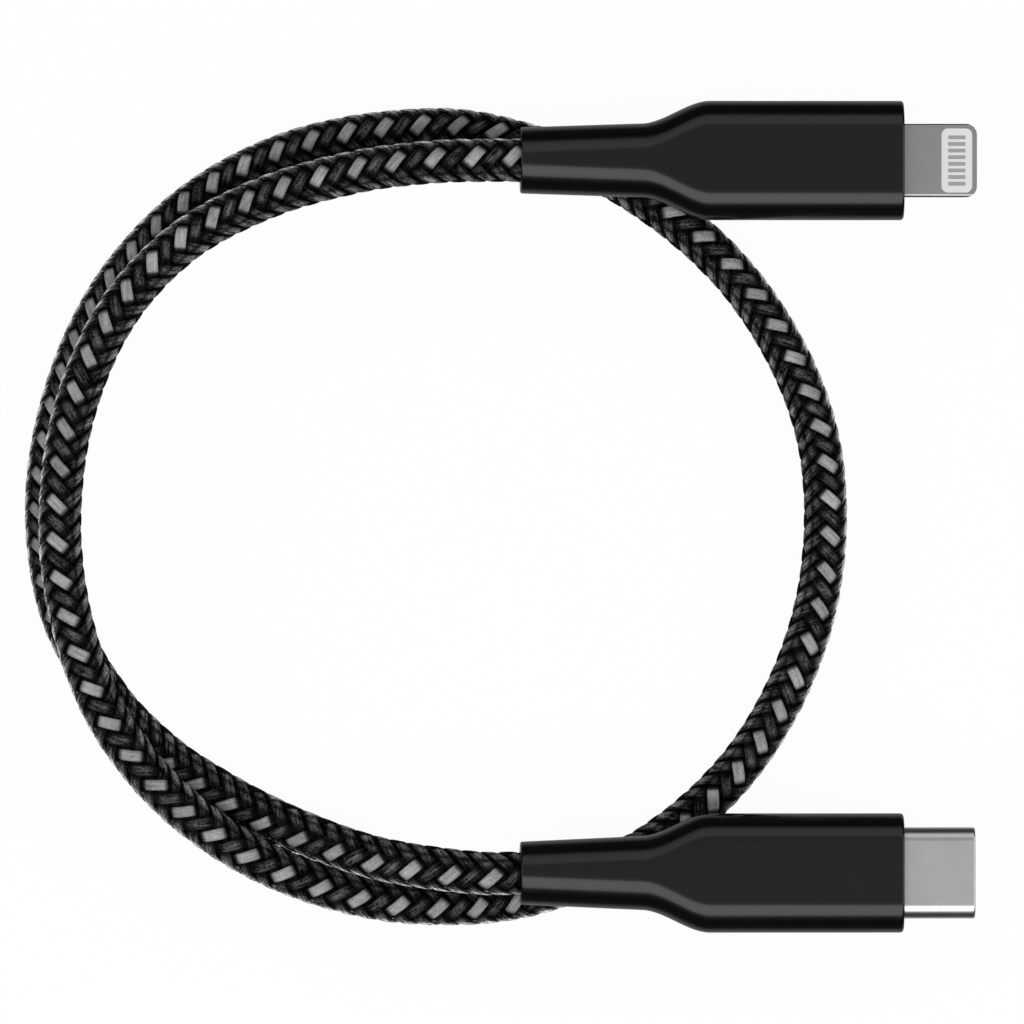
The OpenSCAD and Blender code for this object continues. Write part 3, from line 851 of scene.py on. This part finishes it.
@dataclass(frozen=True)
class PaintedShading:
    """Light and shade painted into a yarn's colour on its way over the others.

    Ends and sides give the lift and the share of the half width between which the painted light
    sets in; where the yarn dives and at its sides, there is painted shade. Rows give the painted
    tone across the cord, lighter or darker by where the lamps fall: from the loop's outside, -1,
    to its inside, 1. Ground is the painted tone of what lies deep, in shade.
    """

    ends: Span
    sides: Span
    rows: tuple[Span, ...]
    ground: float = 0.0

    def tone(self, lift: np.ndarray, across: np.ndarray, inward: np.ndarray) -> np.ndarray:
        """Gives the painted light and shade of points on a yarn.

        Args:
            lift: From -1, where the yarn is deepest, to 1 in the middle of a float.
            across: Place across the yarn, from -1 to 1.
            inward: Place across the cord, from -1 to 1.

        Returns:
            The painted tones.
        """
        lit = eased(lift, *self.ends) * (1 - eased(np.abs(across), *self.sides))
        return self.ground + lit * np.interp(inward, *np.array(self.rows).T)


# Painted light and shade of each set: painted shade where yarns dive and at their sides, and
# painted lamp light on the cord's flanks, strongest on the counter yarns
GREY_PAINTED_SHADING = PaintedShading((0.28, 0.68), (0.82, 1.1), ((-0.8, 0.5), (-0.5, 1), (1, 1)))
BLACK_PAINTED_SHADING = PaintedShading(
    (0.3, 0.9), (0.25, 1), ((-0.75, 0.5), (-0.4, 1.1), (0.1, 1.1), (0.4, 0.4)), ground=0.1
)
COUNTER_PAINTED_SHADING = PaintedShading(
    (0, 0.7),
    (0.3, 1.05),
    (
        (-0.9, 1.8), (-0.7, 1.2), (-0.45, 0.3), (0.15, 0.05), (0.24, 0.3), (0.35, 1.1),
        (0.48, 1.1), (0.57, 0.05), (0.62, 0.05), (0.72, 1.9), (0.9, 2.8),
    ),
    ground=0.1,
)  # fmt: skip


@dataclass(frozen=True)
class YarnSet:
    """Yarns that wind the same way and share a finish."""

    name: str
    twist: Twist
    numbers: tuple[int, ...]
    finish: YarnFinish
    # The painted light and shade of its yarns
    relief: PaintedShading


@dataclass
class BraidedCord:
    """The cord: a round jacket in a braid of flat yarns that go two over and two under.

    The envelope is the diameter over the floats. Sway is how far a yarn dives under the others,
    crispness how suddenly, and squareness how flat its section is.
    """

    route: CordRoute
    diameter: float = 3.8
    envelope_d: float = 3.95
    pitch: float = 10.2
    yarns_each_way: int = 6
    yarn_w: float = 1.0
    yarn_t: float = 0.26
    sway: float = 0.135
    crispness: float = 3.2
    squareness: float = 2.8
    float_swell: float = 0.04
    # Shares of a yarn's width and tone by which it wavers, and the millimetres in its height
    waver_w: float = 0.05
    waver_tone: float = 0.2
    waver_h: float = 0.012
    # Each row: length of a wave over a full turn, and the factor and power of the yarn's number
    # that shift its start
    waves: tuple[tuple[float, float, int], ...] = ((2.3, 2.4, 1), (5.1, 1.7, 2))
    # Band across the loop's outer side that gets the painted sheen
    outer_edge: Span = (0.85, 0.94)
    jacket_d: float = 2.8
    jacket_points: int = 20
    sections_per_crossing: int = 6
    points_around: int = 12
    # Each row: distance from the 8-pin plug, grey floats passed since it, and the braid's roll
    # towards the outside of the loop in degrees
    settling: tuple[tuple[float, float, float], ...] = (
        (-0.1, -0.22, -18), (25.12, 7, -18), (45.5, 13, -15), (59.15, 17, -20), (79.6, 23, -26),
        (93.4, 27, -25), (100.6, 29, -22), (107.95, 31, -19), (118.85, 34, -14), (149.3, 43, -22),
        (165.8, 48, -14), (178.8, 52, -13), (192.1, 56, -13), (223.7, 65, -15), (237, 69, -13),
        (252.85, 74, -8), (284.25, 84, -5),
        (310.25, 92, -8), (313.8, 93, -5), (317.5, 94, -2), (321.4, 95, -3), (328.8, 97, -12),
        (332.1, 98, -14), (339.1, 100, -14), (342, 100.8, -14),
    )  # fmt: skip
    sets: tuple[YarnSet, ...] = (
        YarnSet("grey_yarns", Twist.LEFT, (0, 2, 4), GREY_YARN, GREY_PAINTED_SHADING),
        YarnSet("black_yarns", Twist.LEFT, (1, 3, 5), BLACK_YARN, BLACK_PAINTED_SHADING),
        YarnSet("counter_yarns_a", Twist.RIGHT, (0, 2, 4), BLACK_YARN, COUNTER_PAINTED_SHADING),
        YarnSet("counter_yarns_b", Twist.RIGHT, (1, 3, 5), BLACK_YARN, COUNTER_PAINTED_SHADING),
    )

    def build(self) -> None:
        yarns = [self._yarns(plan) for plan in self.sets]
        material = MATERIALS.get(FINISHES["cord_jacket"])
        jacket = finished_piece(self._jacket_mesh(), material)
        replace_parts(jacket, "cord")
        run = np.arange(0, self.route.length, 1.0)
        path = self.route.place(run, np.zeros_like(run), np.zeros_like(run))
        tuple(self.route.start.on_axis(HOUSING_L) * MM)

    def _jacket_mesh(self) -> bpy.types.Mesh:
        """Makes the round jacket under the braid."""

        def lay(grid: np.ndarray) -> np.ndarray:
            """Rolls the grid up along the route."""
            run = (grid[:, 0] + 0.5) * self.route.length
            return self.route.place(run, TURN * grid[:, 1], np.full(len(grid), self.jacket_d / 2))

        return wrapped_grids("braid_core", 1, round(self.route.length), self.jacket_points, lay)

    def _yarns(self, plan: YarnSet) -> bpy.types.Object:
        """Makes the yarns of one set.

        Args:
            plan: The set.

        Returns:
            The piece that holds them.
        """
        numbers = np.array(plan.numbers)
        crossings = 2 * self.yarns_each_way * self.route.length / self.pitch
        sections = round(crossings * self.sections_per_crossing)

        def lay(grid: np.ndarray) -> np.ndarray:
            """Winds each grid as the yarn whose turn it is."""
            return self._lay_yarn(grid, plan, numbers[np.round(grid[:, 2]).astype(int)])

        mesh = wrapped_grids(plan.name, len(numbers), sections, self.points_around, lay)
        return finished_piece(mesh, MATERIALS.get(plan.finish))

    def _lay_yarn(self, grid: np.ndarray, plan: YarnSet, number: np.ndarray) -> np.ndarray:
        """Winds grid points round the cord as a yarn that dives under two others and over two.

        Args:
            grid: Points with x along the yarn and y round its section.
            plan: The set that the yarns belong to.
            number: Which yarn each point belongs to.

        Returns:
            The points where the yarn lies, followed by its painted light and shade there, with
            painted shade where it dives and at its sides, and its share in the loop's outer edge,
            where the finish paints a sheen.
        """
        way = plan.twist.value
        run = (grid[:, 0] + 0.5) * self.route.length
        offset = 0.5 if plan.twist is Twist.RIGHT else 0.0
        turns, roll = self._settled(run)
        wound = TURN * (way * turns + (number + offset) / self.yarns_each_way)
        lift = -way * np.cos(self.yarns_each_way / 2 * wound)
        over = np.tanh(self.crispness * lift) / math.tanh(self.crispness)
        waver = self._waver(run, number + (0 if way > 0 else self.yarns_each_way))
        middle = (self.envelope_d - self.yarn_t) / 2 - self.sway * (1 - over) + self.waver_h * waver
        section = TURN * grid[:, 1]
        power = 2 / self.squareness
        across = np.sign(np.cos(section)) * np.abs(np.cos(section)) ** power
        upward = np.sign(np.sin(section)) * np.abs(np.sin(section)) ** power
        half_w = self.yarn_w / 2 * (1 + self.float_swell * over + self.waver_w * waver)
        beside = across * half_w
        slope = np.arctan(TURN * middle / self.pitch)
        angle = wound + roll + beside * np.cos(slope) / middle
        # Painted light and shade, lit where the yarn floats on top, varied at random along it
        tone = (1 + self.waver_tone * waver) * plan.relief.tone(lift, across, np.cos(angle))
        # Share in the loop's outer edge, which gets the painted sheen
        edge = eased(-np.cos(angle), *self.outer_edge)
        run = run - way * beside * np.sin(slope)
        placed = self.route.place(run, angle, middle + upward * self.yarn_t / 2)
        return np.column_stack([placed, tone, edge])

    def _settled(self, run: np.ndarray) -> tuple[np.ndarray, np.ndarray]:
        """Gives how many turns the yarns have made by each place, and the braid's roll there.

        Args:
            run: Distance along the cord, its tucked start included.

        Returns:
            The turns, and the roll in radians.
        """
        place, floats, roll = np.array(self.settling).T
        passed = np.interp(run - TUCK, place, floats)
        return passed * 2 / self.yarns_each_way, np.radians(np.interp(run - TUCK, place, roll))

    def _waver(self, run: np.ndarray, number: np.ndarray) -> np.ndarray:
        """Gives a slow, uneven wave from -1 to 1, different on each yarn."""
        waves = [
            np.sin(run / length + shift * number**power) for length, shift, power in self.waves
        ]
        return sum(waves) / len(self.waves)


# ---------- moulded plug skins ----------


@dataclass(frozen=True)
class Outline:
    """A rounded rectangle across a plug, given by its half width, half thickness and corner."""

    half_w: float
    half_t: float
    corner: float

    def points(self, share: np.ndarray) -> np.ndarray:
        """Walks round the outline from the +Y side.

        Args:
            share: Shares of the whole way round, from 0 to 1.

        Returns:
            Rows of y and z.
        """
        r = min(self.corner, self.half_w, self.half_t)
        rise, arc, top = self.half_t - r, r * math.pi / 2, self.half_w - r
        quarter = share * 4
        side = np.floor(quarter).astype(int) % 4
        part = quarter - np.floor(quarter)
        part = np.where(side % 2 == 1, 1 - part, part) * (rise + arc + top)
        turn = np.clip(part - rise, 0, arc) / max(r, 1e-9)
        y = top + r * np.cos(turn) - np.clip(part - rise - arc, 0, None)
        z = np.clip(part, 0, rise) + r * np.sin(turn)
        y = np.where((side == 1) | (side == 2), -y, y)
        return np.stack([y, np.where(side >= 2, -z, z)], axis=1)

    def grown(self, by: float) -> "Outline":
        """Gives the outline with its walls moved out."""
        return Outline(self.half_w + by, self.half_t + by, self.corner + by)


# Sections of the metal parts that stand in the mouths
TAB = Outline(6.65 / 2, 1.5 / 2, 0.3)
SHELL = Outline(8.25 / 2, 2.4 / 2, 2.4 / 2)


@dataclass
class PlugSkin:
    """A plug's moulded housing: flat body, S-shaped flare and tapered strain relief."""

    node: str
    stance: PlugStance
    metal: Outline
    cord_d: float = 3.84
    hole_flare: float = 0.12
    hole_flare_l: float = 0.15
    exit_r: float = 0.18
    mouth_gap: float = 0.02
    mouth_r: float = 0.08
    pocket: float = 1.2
    # Steps round an edge, and sections of the strain relief, the flare and the body
    edge_steps: int = 9
    sections: tuple[int, int, int] = (24, 36, 20)
    # Flat rings beside a rounded edge, as shares of its radius
    exit_ring: float = 2.2
    front_ring: float = 1.12
    mouth_ring: float = 1.5
    points_around: int = 128

    def build(self) -> None:
        """Makes the skin, which stands for the faceted CAD housing."""
        stations = self._stations()
        count = len(stations)

        def lay(grid: np.ndarray) -> np.ndarray:
            """Puts each row of the grid round its section."""
            row = np.round((grid[:, 0] + 0.5) * (count - 1)).astype(int)
            local = np.zeros((len(grid), 3))
            for index, (x, outline) in enumerate(stations):
                chosen = row == index
                local[chosen, 0] = x
                local[chosen, 1:] = outline.points((grid[chosen, 1] + 0.5) % 1.0)
            return self.stance.place(local)

        mesh = wrapped_grids(self.node + "_skin", 1, count - 1, self.points_around, lay)
        material = MATERIALS.get(FINISHES["black_moulding"])
        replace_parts(finished_piece(mesh, material), self.node)

    def _section(self, back: float) -> Outline:
        """Gives the outline at a distance behind the front face, its rounded edge left out."""
        if back > BODY_L + FLARE_L:
            share = (back - BODY_L - FLARE_L) / (HOUSING_L - BODY_L - FLARE_L)
            half_t = blend(RELIEF_T, self.stance.relief_d, share) / 2
            return Outline(blend(RELIEF_W, self.stance.relief_d, share) / 2, half_t, half_t)
        share = eased(BODY_L + FLARE_L - back, 0, FLARE_L)
        return Outline(
            blend(RELIEF_W, HOUSING_W, share) / 2,
            blend(RELIEF_T, HOUSING_T, share) / 2,
            blend(RELIEF_T / 2, CORNER_R, share),
        )

    def _stations(self) -> list[tuple[float, Outline]]:
        """Lists the sections from the bottom of the cord's hole to the bottom of the mouth.

        Returns:
            The place along the axis and the outline of each.
        """
        hole = Outline(self.cord_d / 2, self.cord_d / 2, self.cord_d / 2)
        mouth = self.metal.grown(self.mouth_gap)
        end, front = self._section(HOUSING_L), self._section(0)
        turns = np.linspace(0, math.pi / 2, self.edge_steps + 1)
        at_relief, at_flare, at_body = self.sections
        step = 0.1
        relief = np.linspace(HOUSING_L - 2 * self.exit_r, BODY_L + FLARE_L + step, at_relief)
        flare = np.linspace(BODY_L + FLARE_L, BODY_L, at_flare)
        body = np.linspace(BODY_L - step, FRONT_R + step / 2, at_body)
        return [
            (-HOUSING_L + TUCK, hole),
            (-HOUSING_L + self.hole_flare_l, hole),
            (-HOUSING_L, hole.grown(self.hole_flare)),
            (-HOUSING_L, end.grown(-self.exit_ring * self.exit_r)),
            *(
                (self.exit_r * (1 - rise) - HOUSING_L, end.grown(self.exit_r * (out - 1)))
                for rise, out in zip(np.sin(turns[::-1]), np.cos(turns[::-1]))
            ),
            *((-back, self._section(back)) for back in (*relief, *flare, *body)),
            *(
                (FRONT_R * (rise - 1), front.grown(FRONT_R * (out - 1)))
                for rise, out in zip(np.sin(turns), np.cos(turns))
            ),
            (0.0, front.grown(-self.front_ring * FRONT_R)),
            (0.0, mouth.grown(self.mouth_ring * self.mouth_r)),
            (-self.mouth_r, mouth),
            (-self.pocket, mouth),
        ]


# ---------- studio ----------


@dataclass(frozen=True)
class Softbox:
    """A large soft lamp that faces the object, sized and placed in metres and degrees."""

    name: str
    from_zenith: float
    azimuth: float
    distance: float
    width: float
    height: float
    radiance: float

    def build(self) -> None:
        """Hangs the lamp in its place."""
        data = bpy.data.lights.new(self.name, "AREA")
        data.shape = "RECTANGLE"
        data.size, data.size_y = self.width, self.height
        data.energy = self.radiance * math.pi * self.width * self.height
        lamp = bpy.data.objects.new(self.name, data)
        tilt, turn = math.radians(self.from_zenith), math.radians(self.azimuth)
        aside = math.sin(tilt)
        out = Vector((aside * math.cos(turn), aside * math.sin(turn), math.cos(tilt)))
        lamp.location = out * self.distance
        lamp.rotation_mode = "QUATERNION"
        lamp.rotation_quaternion = out.to_track_quat("Z", "Y")
        bpy.context.scene.collection.objects.link(lamp)


@dataclass
class Studio:
    """A plain white table, soft lamps and a camera straight above.

    The view and the camera's height are in millimetres, like the cable, the rest in metres.
    """

    view_centre: tuple[float, float] = (1.01, 0.43)
    view_width: float = 92.95
    camera_height: float = 2400.0
    camera_range: Span = (0.01, 20.0)
    sensor: float = 36.0
    table_size: float = 6.0
    table_paint: float = 0.95
    whiteness: float = 0.96
    # How bright gloss sees the table, where it looks straight at it and where it looks along it
    table_in_gloss: Span = (0.36, 0.03)
    table_turning: Span = (0.3, 0.62)
    # The room's light from its dim band up to its bright one
    room_light: Span = (0.01, 0.46)
    room_bands: Span = (0.15, 0.95)
    lamps: tuple[Softbox, ...] = (
        Softbox("near_lamp", 34, -90, 0.9, 1.6, 0.66, 1.85),
        Softbox("far_lamp", 48, 90, 0.9, 1.6, 0.58, 0.5),
        Softbox("left_lamp", 68, 180, 0.9, 0.8, 0.5, 1.4),
        Softbox("right_lamp", 68, 0, 0.9, 0.8, 0.5, 1.6),
    )

    def set_camera(self) -> None:
        """Puts the camera above the object, looking straight down."""
        data = bpy.data.cameras.new("camera")
        data.sensor_width = self.sensor
        data.lens = self.sensor * self.camera_height / self.view_width
        data.clip_start, data.clip_end = self.camera_range
        camera = bpy.data.objects.new("camera", data)
        camera.location = [length * MM for length in (*self.view_centre, self.camera_height)]
        bpy.context.scene.collection.objects.link(camera)
        bpy.context.scene.camera = camera

    def build(self) -> None:
        """Sets up the lamps, the table and the room."""
        bpy.context.scene.view_settings.view_transform = "Standard"
        for lamp in self.lamps:
            lamp.build()
        self._table()
        self._room()

    def _table(self) -> None:
        """Makes the table, which the camera and gloss see as white with a soft shadow."""
        bm = bmesh.new()
        bmesh.ops.create_grid(bm, x_segments=1, y_segments=1, size=self.table_size / 2)
        mesh = bpy.data.meshes.new("table")
        bm.to_mesh(mesh)
        bm.free()
        material = bpy.data.materials.new("white_table")
        material.use_nodes = True
        material.node_tree.nodes.clear()
        w = Wiring(material.node_tree)
        rays = w.node("ShaderNodeLightPath").outputs
        seen = w.maths("MAXIMUM", rays["Is Camera Ray"], rays["Is Transmission Ray"])
        gloss = rays["Is Glossy Ray"]
        facing = w.node("ShaderNodeLayerWeight").outputs["Facing"]
        in_gloss = w.ramp(facing, self.table_turning, self.table_in_gloss)
        glow = w.node("ShaderNodeEmission")
        w.feed(glow.inputs["Color"], (1, 1, 1, 1))
        w.feed(glow.inputs["Strength"], w.maths("MAXIMUM", seen, in_gloss))
        paint = w.node("ShaderNodeBsdfDiffuse")
        w.feed(paint.inputs["Color"], (*(self.table_paint,) * 3, 1))
        mix = w.node("ShaderNodeMixShader")
        w.feed(mix.inputs[0], w.maths("MAXIMUM", w.maths("MULTIPLY", seen, self.whiteness), gloss))
        w.feed(mix.inputs[1], paint.outputs[0])
        w.feed(mix.inputs[2], glow.outputs[0])
        w.feed(w.node("ShaderNodeOutputMaterial").inputs["Surface"], mix.outputs[0])
        mesh.materials.append(material)
        table = bpy.data.objects.new("table", mesh)
        bpy.context.scene.collection.objects.link(table)

    def _room(self) -> None:
        """Makes a room that is dim at the horizon and brighter overhead."""
        world = bpy.data.worlds.new("room")
        world.use_nodes = True
        world.node_tree.nodes.clear()
        w = Wiring(world.node_tree)
        height = w.node("ShaderNodeSeparateXYZ")
        w.feed(height.inputs[0], w.node("ShaderNodeTexCoord").outputs["Generated"])
        light = w.node("ShaderNodeBackground")
        strength = w.ramp(height.outputs["Z"], self.room_bands, self.room_light)
        w.feed(light.inputs["Strength"], strength)
        w.feed(w.node("ShaderNodeOutputWorld").inputs["Surface"], light.outputs[0])
        bpy.context.scene.world = world


# ---------- the whole cable ----------


def dress_cad_nodes() -> None:
    """Gives each CAD node the material of its slot in the record, but the braid has its own."""
    for part in frame["record"]["subparts"]:
        slot = part["material_slot"]
        if slot not in FINISHES:
            continue
        material = MATERIALS.get(FINISHES[slot])
        node = frame["nodes"][part["node"]]
        if node.material_slots:
            node.material_slots[0].material = material
        else:
            node.data.materials.append(material)
        LOG.info("%s: %s", part["node"], slot)


def main() -> None:
    """Builds the cable and its studio in order."""
    logging.basicConfig(level=logging.INFO, format="%(name)s: %(message)s")
    studio = Studio()
    studio.set_camera()
    BraidedCord(CordRoute()).build()
    PlugSkin("eight_pin_housing", EIGHT_PIN, TAB).build()
    PlugSkin("usb_c_housing", USB_C, SHELL).build()
    dress_cad_nodes()
    studio.build()


if __name__ == "__main__":
    main()
